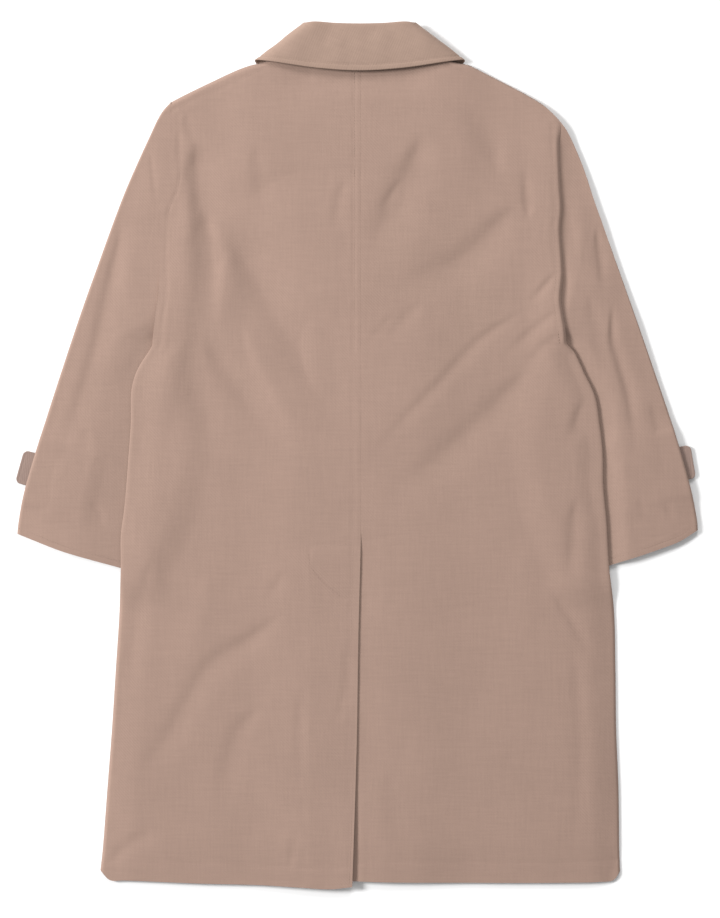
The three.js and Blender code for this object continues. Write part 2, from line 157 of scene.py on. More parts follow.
# The back's creases: bends from where the cloth pulls, half width on the side
# towards the light and on the other, depth (below 0 is a ridge)
BACK_CREASES = [
    ([(-208, 413), (-205, 358), (-195, 309), (-167, 267)], 14, 29, 3.0),
    ([(-183, 309), (-139, 251), (-104, 186), (-67, 124), (-35, 67), (-9, 7)], 22, 42, 3.8),
    ([(-196, 326), (-190, 261), (-188, 176)], 20, 12, 2.0),
    ([(-167, 270), (-173, 215), (-175, 144)], 10, 20, -1.1),
    ([(-149, 173), (-121, 111), (-87, 49), (-56, 12)], 10, 16, -1.3),
    ([(-204, 163), (-157, 95), (-115, 38), (-71, -19)], 16, 21, 2.3),
    ([(-219, 98), (-197, 46), (-184, -6)], 16, 18, 0.7),
    ([(-219, 371), (-221, 267), (-225, 163), (-248, 72), (-269, -19)], 20, 16, -1.8),
    ([(-235, 426), (-235, 397), (-234, 366)], 5, 8, 1.2),
    ([(-222, 449), (-217, 423), (-204, 397)], 6, 8, 0.6),
    ([(-132, 407), (-125, 352), (-115, 296)], 10, 16, 0.9),
    ([(-14, 361), (-24, 326), (-27, 280)], 8, 10, 0.7),
    ([(88, 424), (74, 378), (55, 335), (34, 293), (9, 244)], 16, 29, 2.5),
    ([(59, 358), (41, 332), (25, 316)], 6, 8, 0.8),
    ([(186, 361), (173, 410), (141, 452), (93, 485)], 18, 18, 1.6),
    ([(223, 303), (220, 345), (216, 384)], 5, 8, 1.2),
    ([(213, 327), (186, 303), (160, 274), (128, 249), (89, 233), (46, 197)], 15, 27, 2.1),
    ([(259, 238), (242, 218), (223, 196)], 4, 6, 1.1),
    ([(228, 194), (163, 153), (108, 95), (56, 41), (7, -22)], 6, 10, 0.9),
    ([(267, 192), (232, 166), (184, 121)], 5, 9, 0.8),
    ([(272, 163), (245, 144), (212, 108)], 5, 9, 0.6),
    ([(232, 121), (197, 82), (158, 41), (108, -3), (59, -42), (20, -68)], 15, 23, 1.7),
    ([(307, 75), (290, 49), (275, 10)], 8, 12, 1.6),
    ([(87, 202), (56, 170), (28, 134)], 9, 12, 0.7),
    ([(50, 186), (24, 157), (9, 142)], 5, 8, 0.4),
    ([(285, -51), (281, -110), (277, -178)], 9, 13, 1.4),
    ([(251, -172), (280, -217), (312, -271)], 5, 9, 1.1),
    ([(282, -240), (290, -370), (285, -526)], 8, 12, 0.7),
    ([(-87, -198), (-136, -237), (-186, -269), (-214, -310), (-245, -367), (-282, -417),
      (-310, -453)], 12, 19, 1.4),
    ([(-123, -326), (-152, -357), (-165, -402), (-175, -467)], 12, 17, 1.1),
    ([(-95, -149), (-108, -175), (-123, -188)], 6, 9, 0.6),
    ([(-323, -529), (-292, -504), (-251, -484)], 9, 12, 0.8),
    ([(-266, -126), (-284, -214), (-297, -318)], 12, 12, 0.8),
    ([(-191, -149), (-204, -214), (-230, -292)], 18, 18, -0.7),
    ([(-75, -305), (-76, -370), (-75, -448)], 5, 8, 0.5),
    ([(-14, -240), (-15, -305), (-35, -370)], 5, 8, 0.5),
    ([(-87, -539), (-83, -513), (-79, -482)], 5, 6, 0.5),
    ([(41, -409), (48, -461), (54, -513)], 13, 16, 0.6),
    ([(186, -240), (160, -305), (147, -396)], 26, 31, 0.5),
    ([(219, -110), (219, -188), (212, -266)], 21, 21, -0.6),
]

# The sleeves' creases, the same columns
SLEEVE_CREASES = [
    ([(-303, 313), (-310, 274), (-325, 202), (-338, 144), (-351, 95), (-369, 42), (-386, -6),
      (-401, -38)], 10, 18, 1.9),
    ([(-409, -12), (-407, -45), (-414, -84)], 6, 8, 0.8),
    ([(-305, -94), (-310, -113), (-323, -127)], 4, 5, 1.1),
    ([(-347, -58), (-334, -77), (-340, -100)], 5, 6, 0.5),
    ([(-352, 40), (-355, 7), (-356, -32)], 6, 8, 0.5),
    ([(-269, 397), (-262, 345), (-256, 315)], 4, 5, 1.0),
    ([(-252, 423), (-248, 400), (-245, 374)], 4, 5, 0.7),
    ([(332, 202), (333, 150), (342, 118), (353, 79), (360, 33), (364, -12)], 5, 10, 2.0),
    ([(311, 300), (317, 254), (323, 202)], 5, 8, 1.1),
    ([(381, 72), (392, 33), (399, -6)], 5, 8, 0.6),
    ([(301, 215), (316, 144), (325, 72)], 10, 12, 0.9),
    ([(394, -45), (405, -68), (410, -90)], 5, 6, 0.5),
    ([(367, -54), (371, -71), (373, -89)], 5, 6, 0.4),
    ([(277, 397), (297, 332), (314, 267)], 10, 10, 0.5),
]


def smooth(value, low, high):
    """0 below low, 1 above high, and a soft step between."""
    t = np.clip((np.asarray(value, float) - low) / (high - low), 0, 1)
    return t * t * (3 - 2 * t)


def fade(value, low, high):
    """1 below low, 0 above high, and a soft step between."""
    return 1 - smooth(value, low, high)


def mix(a, b, t):
    """a where t is 0, b where it is 1."""
    return a + (b - a) * t


def bell(distance, width):
    """1 on a line, and less and less beside it."""
    return np.exp(-(distance / width) ** 2)


def curve_pieces(rows, steps, endpoint=True):
    """A centripetal Catmull-Rom curve through the rows, as one array of steps for each two rows."""
    p = np.array(rows, float)
    p = np.vstack([2 * p[0] - p[1], p, 2 * p[-1] - p[-2]])
    pieces = []
    for p0, p1, p2, p3 in zip(p, p[1:], p[2:], p[3:]):
        t1 = np.linalg.norm(p1 - p0) ** 0.5
        t2 = t1 + np.linalg.norm(p2 - p1) ** 0.5
        t3 = t2 + np.linalg.norm(p3 - p2) ** 0.5
        t = np.linspace(t1, t2, steps, endpoint=endpoint)[:, None]
        a1 = (t1 - t) / t1 * p0 + t / t1 * p1
        a2 = (t2 - t) / (t2 - t1) * p1 + (t - t1) / (t2 - t1) * p2
        a3 = (t3 - t) / (t3 - t2) * p2 + (t - t2) / (t3 - t2) * p3
        b1 = (t2 - t) / t2 * a1 + t / t2 * a2
        b2 = (t3 - t) / (t3 - t1) * a2 + (t - t1) / (t3 - t1) * a3
        pieces.append((t2 - t) / (t2 - t1) * b1 + (t - t1) / (t2 - t1) * b2)
    return pieces


def spline(rows, count=1200):
    """Evenly spaced points on the curve through the rows."""
    line = np.vstack(curve_pieces(rows, 60))
    walked = np.concatenate([[0], np.cumsum(np.linalg.norm(np.diff(line, axis=0), axis=1))])
    even = np.linspace(0, walked[-1], count)
    return np.column_stack([np.interp(even, walked, column) for column in line.T])


class Curve:
    """A curve of one or more stretches, each given its share of the parameter."""

    def __init__(self, *stretches):
        self.stretches = stretches

    def __call__(self, share):
        share = np.clip(np.asarray(share, float), 0, 1)
        out = np.zeros(share.shape + (self.stretches[0][2].shape[1],))
        for start, end, line in self.stretches:
            here = (share >= start) & (share <= end) if end == 1 else (share >= start) & (share < end)
            place = (share[here] - start) / (end - start) * (len(line) - 1)
            for k in range(line.shape[1]):
                out[..., k][here] = np.interp(place, np.arange(len(line)), line[:, k])
        return out


def through(rows):
    """One curve through the rows."""
    return Curve((0, 1, spline(rows)))


def joined(first, second, meet):
    """Two curves end to end, the first up to the share at which they meet."""
    return Curve((0, meet, spline(first)), (meet, 1, spline(second)))


def patch(low, high, near, far, u, v):
    """Places on a patch between four edges: low and high run along u, near and far along v."""
    a = low(u) * (1 - v)[..., None] + high(u) * v[..., None]
    b = near(v) * (1 - u)[..., None] + far(v) * u[..., None]
    zero, one = np.zeros(1), np.ones(1)
    corner = (low(zero) * ((1 - u) * (1 - v))[..., None] + low(one) * (u * (1 - v))[..., None]
              + high(zero) * ((1 - u) * v)[..., None] + high(one) * (u * v)[..., None])
    return a + b - corner


def across(rows, y):
    """x of an outline at heights y; the outline runs from its top down."""
    p = np.array(rows, float)[::-1]
    return np.interp(y, p[:, 1], p[:, 0])


def nearest_on(start, end, x, y):
    """The share of a segment where it is nearest each point, and the way from there to the point."""
    (ax, ay), (bx, by) = start, end
    t = ((x - ax) * (bx - ax) + (y - ay) * (by - ay)) / ((bx - ax) ** 2 + (by - ay) ** 2)
    t = np.clip(t, 0, 1)
    return t, x - ax - t * (bx - ax), y - ay - t * (by - ay)


def crease_depth(creases, x, y):
    """How far the creases sink each point.

    A crease starts narrow, dies out along its length, and is steeper on the side towards the light.
    """
    sunk = np.zeros(np.shape(x))
    for bends, steep, gentle, depth in creases:
        line = spline(bends, CREASE_POINTS)
        near = np.full(np.shape(x), FAR_AWAY)
        share = np.zeros(np.shape(x))
        lit = np.zeros(np.shape(x))
        for i, (start, end) in enumerate(zip(line, line[1:])):
            t, dx, dy = nearest_on(start, end, x, y)
            far = np.hypot(dx, dy)
            closer = far < near
            near = np.where(closer, far, near)
            share = np.where(closer, (i + t) / (len(line) - 1), share)
            towards = (dx * TOWARDS_LIGHT[0] + dy * TOWARDS_LIGHT[1]) / np.maximum(far, 0.01)
            lit = np.where(closer, towards, lit)
        width = mix(gentle, steep, smooth(lit, -0.6, 0.6)) * mix(0.4, 1, smooth(share, 0, 0.35))
        strength = smooth(share, 0, 0.22) * fade(share, 0.5, 1)
        sunk += CREASE_GAIN * depth * strength * bell(near, width)
    return sunk


def gentle_noise(seed, scales):
    """A soft random surface: sums of waves of each (wavelength, height), the same on every run."""
    draw = random.Random(seed)
    waves_each = 7
    usual_sum = 2.6
    waves = []
    for length, height in scales:
        for _ in range(waves_each):
            angle = draw.uniform(0, math.pi)
            pace = 2 * math.pi / (length * draw.uniform(0.7, 1.4))
            phase = draw.uniform(0, 6.3)
            waves.append((math.cos(angle) * pace, math.sin(angle) * pace, phase, height / usual_sum))

    def surface(x, y):
        total = np.zeros(np.shape(x))
        for kx, ky, phase, height in waves:
            total += height * np.sin(kx * x + ky * y + phase)
        return total
    return surface


cloth_waves = gentle_noise(11, [(220, 0.45), (100, 0.16), (42, 0.05)])
sleeve_waves = gentle_noise(23, [(160, 0.5), (70, 0.2), (34, 0.06)])
collar_waves = gentle_noise(31, [(90, 0.35), (40, 0.22), (18, 0.08)])


def line_distance(rows, x, y):
    """Distance to a polyline, and how far along it the nearest place is."""
    line = np.array(rows, float)
    near = np.full(np.shape(x), FAR_AWAY)
    along = np.zeros(np.shape(x))
    walked = 0.0
    for start, end in zip(line, line[1:]):
        length = math.dist(start, end)
        t, dx, dy = nearest_on(start, end, x, y)
        far = np.hypot(dx, dy)
        closer = far < near
        near = np.where(closer, far, near)
        along = np.where(closer, walked + t * length, along)
        walked += length
    return near, along


def offset_rows(rows, distance):
    """The polyline moved sideways, to the left of its direction."""
    line = spline(rows, 60)
    way = np.gradient(line, axis=0)
    way /= np.linalg.norm(way, axis=1)[:, None]
    return line + distance * np.column_stack([-way[:, 1], way[:, 0]])


# Topstitched lines, x and y along each
SHOULDER_STITCH = {
    "left": [(-242, 447), (-225, 456), (-157, 486), (-110, 508)],
    "right": [(118, 508), (160, 486), (222, 456), (252, 438)],
}
ARMHOLE_STITCH = {
    "left": offset_rows(LEFT["armhole"][1:], 10),
    "right": offset_rows(RIGHT["armhole"][1:], -10.5),
}
CENTRE_STITCH = [(-3.5, 498), (-3.5, 200), (-4, VENT_TOP + 2)]
FLAP_STITCHES = [
    [(0, VENT_TOP - 4), (-3, -240), (-4.5, -370), (-8, -503), (-10, -557)],
    [(-5, VENT_TOP - 3), (-8, -240), (-9.5, -370), (-13, -503), (-15, -557)],
]
VENT_STITCHES = [
    [(-60, -119), (-6, -115)],
    [(-63, -120), (-60, -145), (-18, -184), (-8, -184)],
]
UNDERLAP_STITCH = [(8, -184), (31, -183)]
HEM_STITCH = {
    "left": [(-327, -529), (-204, -532), (-126, -534), (-74, -537), (-12, -537)],
    "right": [(2, -530), (150, -531), (264, -531), (337, -528)],
}


def over_hidden_sleeve(side, x, y):
    """1 where the body lies on a sleeve, 0 where it lies on the surface."""
    inner = across(side["inner_fold"], np.clip(y, CUFF_Y, UNDERARM_Y))
    inside = (inner - x) * side["sign"]
    below_arm = fade(y, UNDERARM_Y + 48, UNDERARM_Y + 108)
    above_cuff = smooth(y, CUFF_Y - 53, CUFF_Y - 8)
    return fade(inside, 8, 55) * above_cuff * below_arm


def front_underside(side, x, y):
    """How high a front lies: over the buttons, the collar's ends or a sleeve, or flat."""
    outward = x * side["sign"]
    if side["sign"] < 0:
        strip = BUTTONED_RISE * fade(outward, 45, 100)
    else:
        strip = (BUTTONED_RISE + LAP_RISE) * fade(outward, 50, 120)
    collar = COLLAR_END_RISE * fade(outward, 140, 190) * smooth(y, 330, 385)
    return np.maximum(np.maximum(strip, collar), OVER_SLEEVE * over_hidden_sleeve(side, x, y))


def back_base(side, x, y):
    """The back's height before its creases, over the buttoned strip, the collar's ends and a sleeve."""
    centre = CENTRE_RISE * fade(np.abs(x), 70, 150)
    neck = NECK_RISE * fade(np.abs(x), 130, 190) * smooth(y, 330, 385)
    sleeve = BACK_OVER_SLEEVE * over_hidden_sleeve(side, x, y)
    return FLAT_HEIGHT + np.maximum(np.maximum(centre, neck), sleeve)


def lapped_height(side, x, y):
    """The lowest that the back may lie, over one front or both."""
    under = front_underside(side, x, y)
    both = front_underside(RIGHT, np.abs(x), y)
    return mix(np.maximum(under, both), under, smooth(np.abs(x), 45, 110)) + BACK_OVER_FRONT


def sewn_relief(side, x, y):
    """Ridges of turned cloth beside the seams, and the shallow ditches that the stitches pull."""
    relief = np.zeros(np.shape(x))
    above_vent = smooth(y, VENT_TOP - 8, VENT_TOP + 4)
    relief -= SEAM_DITCH * bell(np.abs(x - BACK_CENTRE), 1.6) * above_vent
    if side["sign"] < 0:
        relief += SEAM_RIDGE * smooth(x, -6, -2) * above_vent
        relief += FLAP_RIDGE * smooth(x, -68, -63) * fade(y, VENT_TOP - 20, VENT_TOP)
        lines = [CENTRE_STITCH, *FLAP_STITCHES, *VENT_STITCHES]
    else:
        lines = [UNDERLAP_STITCH]
    hem = HEM_STITCH[side["name"]]
    hem_far, _ = line_distance(hem, x, y)
    below = y < np.interp(x, *np.array(hem, float).T)
    relief += HEM_RIDGE * smooth(np.where(below, hem_far, -hem_far), -2.5, 2.5)
    for rows in [*lines, hem, SHOULDER_STITCH[side["name"]], ARMHOLE_STITCH[side["name"]]]:
        far, along = line_distance(rows, x, y)
        pucker = 0.5 + 0.5 * np.sin(along / 5.1 + 1.7 * np.sin(along / 17.0))
        relief -= (0.30 + 0.22 * pucker) * bell(far, 1.5)
        relief += 0.10 * pucker * bell(far - 5, 4)
    return relief


def back_height(side, x, y, to_side, to_top, below_arm):
    """Height of the back's upper face: to_side and to_top are distances in from its outline."""
    left = side["sign"] < 0
    inward = smooth(to_side, 0, 22)
    height = back_base(side, x, y) - crease_depth(BACK_CREASES, x, y) * inward + cloth_waves(x, y) * inward
    height -= side["side_fall"] * fade(to_side, 0, side["side_reach"]) * below_arm
    if not left:
        armhole_ridge = 2.2 * smooth(to_side, 0, 7) * fade(to_side, 14, 60)
        height += armhole_ridge * (1 - below_arm) * smooth(to_top, 10, 60)
    neck_hollow = 3.0 * smooth(y, 462, 492) * fade(np.abs(x - COLLAR_MIDDLE), 60, 120)
    hem_fall = 2.2 * fade(y, -562, -500)
    height = np.maximum(height - neck_hollow - hem_fall, lapped_height(side, x, y))
    if left:
        flap_lift = 0.5 * fade(-x, 50, 110) * fade(y, VENT_TOP - 30, VENT_TOP + 8)
        corner_lift = 1.5 * fade(-x, 6, 40) * fade(y, -545, -430)
        height = height + flap_lift + corner_lift
    else:
        underlap_fall = 1.1 * fade(x, 6, 40) * fade(y, VENT_TOP - 8, VENT_TOP + 20)
        corner_fall = 1.5 * fade(x, -2, 6) * fade(y, -500, -340)
        height = height - underlap_fall - corner_fall
    return height + sewn_relief(side, x, y)


def edge_drop(distance, reach):
    """A quarter round: 1 on an edge, 0 from a reach inside it."""
    inside = np.clip(distance / reach, 0, 1)
    return 1 - np.sqrt(1 - (1 - inside) ** 2)


def grid_normals(p, wrap=False):
    """Unit normals of a grid of points; columns run round when wrap is set."""
    down = np.gradient(p, axis=0)
    if wrap:
        over = (np.roll(p, -1, axis=1) - np.roll(p, 1, axis=1)) / 2
    else:
        over = np.gradient(p, axis=1)
    n = np.cross(over, down)
    return n / np.maximum(np.linalg.norm(n, axis=2, keepdims=True), 1e-9)


def build_mesh(name, points, faces, material):
    """A smooth mesh from millimetres, its rims kept crisp."""
    mesh = bpy.data.meshes.new(name)
    mesh.from_pydata((np.asarray(points) * METRE).tolist(), [], faces)
    mesh.validate()
    mesh.polygons.foreach_set("use_smooth", [True] * len(mesh.polygons))
    mesh.set_sharp_from_angle(angle=math.radians(48))
    mesh.materials.append(material)
    mesh.update()
    piece = bpy.data.objects.new(name, mesh)
    bpy.context.scene.collection.objects.link(piece)
    return piece


def shell(name, p, wall, material, wrap=False, inner=None):
    """A closed cloth wall from a grid on its outer face, with normals facing out of the wall."""
    rows, columns = p.shape[:2]
    inside = p - grid_normals(p, wrap) * wall if inner is None else inner
    count = rows * columns
    index = np.arange(count).reshape(rows, columns)
    nxt = np.roll(index, -1, axis=1) if wrap else index[:, 1:]
    here = index if wrap else index[:, :-1]
    a, b, c, d = here[:-1], nxt[:-1], nxt[1:], here[1:]
    quads = np.stack([a, b, c, d], axis=-1).reshape(-1, 4)
    back = quads[:, ::-1] + count
    if wrap:
        rims = [(index[0], np.roll(index[0], -1)), (np.roll(index[-1], -1), index[-1])]
    else:
        rims = [(index[0, :-1], index[0, 1:]), (index[:-1, -1], index[1:, -1]),
                (index[-1, 1:][::-1], index[-1, :-1][::-1]), (index[1:, 0][::-1], index[:-1, 0][::-1])]
    edges = [np.stack([s + count, e + count, e, s], axis=-1) for s, e in rims]
    faces = np.vstack([quads, back, *edges])
    points = np.vstack([p.reshape(-1, 3), inside.reshape(-1, 3)])
    return build_mesh(name, points, faces.tolist(), material)


def rounded_shares(steps, span, reach, turns=7):
    """Shares of a span from 0 to 1, evenly spaced and then closer round an edge at its end."""
    flat = np.linspace(0, 1 - reach / span, steps)
    angle = np.linspace(0, math.pi / 2, turns + 1)[1:]
    return np.concatenate([flat, 1 - reach / span * (1 - np.sin(angle))])


def outer_edge(side, armhole):
    """A panel's outer edge from the hem up: its side, and then its armhole."""
    return joined(side["side"][::-1], side[armhole][::-1], UNDERARM_SHARE)


def back_patch(side):
    """The back panel's outline as four edges."""
    left = side["sign"] < 0
    seam = BACK_CENTRE - side["sign"] * SEWN_OVERLAP
    beyond = [row for row in BACK_NECK if (row[0] - seam) * side["sign"] > 1]
    neck = [(seam, NECK_Y)] + (beyond[::-1] if left else beyond)
    top = joined(neck, side["shoulder"], 0.4)
    if left:
        start = VENT_TOP
        low = through(side["hem"])
        vent = [(-6, -561), (-4, -503), (0, -370), (2, -240), (seam, start)]
    else:
        start = VENT_TOP - 4
        lap_corner = (-VENT_LAP, HEM_Y + 1)
        low = through([lap_corner, *side["hem"]])
        vent = [lap_corner, (-VENT_LAP + 2, -370), (-VENT_LAP + 5, VENT_TOP - 50), (-18, VENT_TOP - 24),
                (seam, start)]
    centre = joined(vent, [(seam, start), (seam, 200), (seam, NECK_Y)], 0.42)
    return low, top, centre, outer_edge(side, "armhole")


def below_underarm(v):
    """1 along a panel's side, 0 along its armhole."""
    return fade(v, UNDERARM_SHARE - 0.03, UNDERARM_SHARE + 0.02)


def make_back(side, material):
    """A back panel, its side and shoulder turned down round the front's edge."""
    width = 300
    u = rounded_shares(int(width / CELL), width, EDGE_ROUND)
    v = rounded_shares(int(COAT_LENGTH / CELL), COAT_LENGTH, EDGE_ROUND)
    uu, vv = np.meshgrid(u, v)
    edges = back_patch(side)
    place = patch(*edges, uu, vv)
    row_width = np.linalg.norm(place[:, -1] - place[:, 0], axis=1)[:, None]
    turned_share = EDGE_ROUND / width
    uu = np.where(uu > 1 - turned_share, 1 - (1 - uu) * width / row_width,
                  uu / (1 - turned_share) * (1 - EDGE_ROUND / row_width))
    place = patch(*edges, uu, vv)
    x, y = place[..., 0], place[..., 1]
    to_side = (1 - uu) * row_width
    to_top = (1 - vv) * COAT_LENGTH
    below_arm = below_underarm(vv)
    height = back_height(side, x, y, to_side, to_top, below_arm)
    low = front_underside(side, x, y) + SEAM_GAP
    shoulder = edge_drop(to_top, EDGE_ROUND) * smooth(uu, 0.4, 0.5)
    turned = 1 - 0.5 * over_hidden_sleeve(side, x, y)
    drop = np.maximum(edge_drop(to_side, EDGE_ROUND) * below_arm * turned, shoulder)
    if side["sign"] > 0:
        armhole = 0.35 * edge_drop(to_side, 4) * (1 - below_arm) * smooth(to_top, 10, 60)
        drop = np.maximum(drop, armhole)
    points = np.dstack([x, y, mix(height, low, drop)])
    if side["sign"] < 0:
        points = points[:, ::-1]
    return shell(f"cloth_back_{side['name']}", points, PANEL_WALL, material)


def make_front(side, material):
    """A front panel: plain, because the back hides it."""
    sign = side["sign"]
    lap_edge = -sign * FRONT_LAP
    neck_x, neck_y = side["shoulder"][0]
    neck = [(lap_edge, THROAT_Y), (0, THROAT_Y), (sign * 45, THROAT_Y + 20), (sign * 88, THROAT_Y + 50),
            (neck_x, neck_y - 3)]
    hem_y = HEM_Y + HEM_SHORTER
    hem = [(x, y + HEM_SHORTER) for x, y in side["hem"] if 100 < x * sign < 320]
    corner_x, corner_y = side["hem"][-1]
    low = through([(lap_edge, hem_y), (0, hem_y), (sign * 60, hem_y), *hem, (corner_x, corner_y + 3)])
    top = joined(neck, side["shoulder"], 0.5)
    centre = through([(lap_edge, hem_y), (lap_edge, 0), (lap_edge, THROAT_Y)])
    uu, vv = np.meshgrid(np.linspace(0, 1, 60), np.linspace(0, 1, 190))
    usual_width = 330
    inset = FRONT_INSET * below_underarm(vv)
    edges = (low, top, centre, outer_edge(side, "front_armhole"))
    place = patch(*edges, uu * (1 - inset / usual_width), vv)
    x, y = place[..., 0], place[..., 1] - 1.6 * FRONT_INSET * smooth(vv, 0.9, 1)
    points = np.dstack([x, y, front_underside(side, x, y)])
    if sign > 0:
        points = points[:, ::-1]
    return shell(f"cloth_front_{side['name']}", points, PANEL_WALL, material)


def over_tab(side, x, y):
    """1 where a sleeve lies on its tab, 0 where it doesn't."""
    (ex, ey), (dx, dy) = side["tab_end"], side["tab_way"]
    along = (x - ex) * dx + (y - ey) * dy
    aside = np.abs((y - ey) * dx - (x - ex) * dy)
    half = TAB_WIDTH / 2
    return fade(aside, half + 16, half + 46) * fade(along, TAB_LENGTH + 10, TAB_LENGTH + 34)


def tab_lift(side, x, y):
    """How far a sleeve's lower layer is lifted by its tab."""
    return (TAB_RISE + SEAM_GAP) * over_tab(side, x, y)


def sleeve_height(side, x, y, t):
    """Top of a sleeve: near the back's height at its seam, pressed under the body, full where it is free."""
    edge = across(side["side"], np.clip(y, CUFF_Y, UNDERARM_Y))
    outside = (x - edge) * side["sign"] + 60 * smooth(y, 140, 190)
    is_free = smooth(outside, 4, 26)
    to_outer = np.abs(across(side["outer_fold"], y) - x)
    free = mix(SLEEVE_PRESSED, SLEEVE_FULL, smooth(outside, *side["sleeve_rise"]))
    free = free + (sleeve_waves(x, y) - crease_depth(SLEEVE_CREASES, x, y)) * is_free
    free = free - 1.8 * fade(to_outer, 0, 45) * is_free
    seam = mix(free, FLAT_HEIGHT, smooth(y, *side["arm_rise"]))
    if side["sign"] > 0:
        far, _ = line_distance(side["armhole"], x, y)
        seam = seam - (4.1 - 2.4 * np.exp(-far / 9)) * smooth(y, 170, 240) * fade(y, 395, 440)
    return np.maximum(mix(seam, free, smooth(t, 0, 0.2)), SLEEVE_PRESSED)


def cuff_stitch(side):
    """The line of stitching round a cuff, inside its edge."""
    return [(x - 0.66 * side["sign"], y + 8) for x, y in side["cuff"]]


def sleeve_top(side, x, y, t):
    """Top of a sleeve with its tab's lift, before its stitching."""
    high = sleeve_height(side, x, y, t) + 1.2 * over_tab(side, x, y)
    return np.maximum(high, tab_lift(side, x, y) + SLEEVE_PRESSED)


def make_sleeve(side, material):
    """A flattened tube from the armhole to the cuff."""
    outer, inner, cuff = (through(side[key]) for key in ("outer_fold", "inner_fold", "cuff"))
    rings = 190
    half = 72
    spread = np.linspace(0, 1, half + 1)
    closer_at_folds = mix(spread, 0.5 - 0.5 * np.cos(math.pi * spread), 0.725)
    t = np.linspace(0, 1, rings)
    cc, tt = np.meshgrid(closer_at_folds, t)
    upper_armhole = through(side["armhole"])
    ends = [patch(upper_armhole, cuff, outer, inner, np.full((rings, 1), end), t[:, None])
            for end in (0.0, 1.0)]
    width = np.linalg.norm(ends[0] - ends[1], axis=2)

    def skin(inset):
        layers = []
        for armhole in ("armhole", "front_armhole"):
            share = mix(inset / width, 1 - inset / width, cc)
            place = patch(through(side[armhole]), cuff, outer, inner, share, tt)
            x, y = place[..., 0], place[..., 1]
            turned = edge_drop(np.minimum(cc, 1 - cc) * width, SLEEVE_ROUND)
            lifted = tab_lift(side, x, y) + inset
            high = sleeve_top(side, x, y, tt) - inset
            if armhole == "armhole" and inset == 0:
                far, _ = line_distance(cuff_stitch(side), x, y)
                high = high - 0.45 * bell(far, 1.4) + 0.3 * smooth(-far, -7, -1)
            z = mix(high if armhole == "armhole" else lifted, (lifted + high) / 2, turned)
            shift = -side["sign"] * SEWN_OVERLAP * (1 - tt)
            layers.append(np.dstack([x + shift, y, z]))
        upper, lower = layers
        return np.concatenate([upper, lower[:, -2:0:-1]], axis=1)

    outside, inside = skin(0), skin(PANEL_WALL)
    if side["sign"] > 0:
        outside, inside = outside[:, ::-1], inside[:, ::-1]
    return shell(f"cloth_sleeve_{side['name']}", outside[::-1], PANEL_WALL, material, wrap=True,
                 inner=inside[::-1])


def looped(rows):
    """A collar edge's table for one half, carried round to the other front end."""
    return rows + [(2 * COLLAR_MIDDLE - x, y, z) for x, y, z in rows[-2::-1]]


FALL_FOLD = looped([(-8, 471, 0.3), (-40, 512, 0.3), (-58, 545, 0.5), (-67, 558, 1.8), (-70, 562, 8),
                    (-60, 563.5, 16.6), (-28, 561.5, 17), (COLLAR_MIDDLE, 560.8, 17)])
FALL_EDGE = looped([(-38, 398, 0.3), (-95, 455, 0.3), (-122, 497, 0.5), (-131, 510.5, 1.5), (-132.5, 514, 8),
                    (-118, 512.5, 14.5), (-52, 503, 16.2), (COLLAR_MIDDLE, 499.5, 16.8)])
STAND_FOLD = looped([(-8, 466, 2.7), (-38, 506, 2.8), (-56, 544, 3.4), (-64, 557, 8), (-55, 560, 14),
                     (-28, 558.5, 14.5), (COLLAR_MIDDLE, 557.8, 14.5)])
STAND_SEAM = looped([(-6, 450.5, 2.7), (-48, 472, 2.7), (-82, 504, 3.2), (-93, 522, 8), (-84, 521.5, 12.2),
                     (-40, 520, 12.4), (COLLAR_MIDDLE, 519.5, 12.4)])


def steady_spline(rows, steps):
    """The curve through the rows with an equal number of points between each two."""
    return np.vstack([*curve_pieces(rows, steps, endpoint=False), rows[-1]])


def collar_grid(top_rows, low_rows, steps, across_steps):
    """A strip between two edges, its cells closer along both, and its shares from the first edge."""
    top, low = steady_spline(top_rows, steps), steady_spline(low_rows, steps)
    rim = np.array([0, 0.004, 0.012, 0.024])
    v = np.concatenate([rim, np.linspace(0.04, 0.96, across_steps), 1 - rim[::-1]])
    strip = top[None] * (1 - v)[:, None, None] + low[None] * v[:, None, None]
    return strip, v


def make_fall(material):
    """The collar's fall, with a stitched edge and a soft roll at its fold."""
    strip, v = collar_grid(FALL_FOLD, FALL_EDGE, 26, 44)
    normal = grid_normals(strip)
    depth = np.linalg.norm(strip[-1] - strip[0], axis=1)[None]
    from_edge = (1 - v)[:, None] * depth
    from_fold = v[:, None] * depth
    on_top = smooth(strip[..., 2], 10, 14)
    relief = collar_waves(strip[..., 0], strip[..., 1])
    relief *= smooth(from_edge, 0, 12) * smooth(from_fold, 0, 12)
    relief += 0.9 * np.sin(np.pi * v)[:, None] * on_top
    relief += 0.35 * fade(from_edge, COLLAR_STITCH_IN - 2, COLLAR_STITCH_IN + 1)
    relief -= 0.45 * bell(from_edge - COLLAR_STITCH_IN, 1.5)
    relief -= 1.5 * edge_drop(from_fold, 4.0) * on_top
    relief -= 0.7 * edge_drop(from_edge, 1.2)
    face = strip - normal * relief[..., None]
    piece = shell("cloth_collar_fall", face[:, ::-1], COLLAR_WALL, material)
    return piece, strip, v


def make_stand(material):
    """The collar's stand, hidden under the fall."""
    strip, _ = collar_grid(STAND_FOLD, STAND_SEAM, 14, 12)
    return shell("cloth_collar_stand", strip[:, ::-1], PANEL_WALL, material)


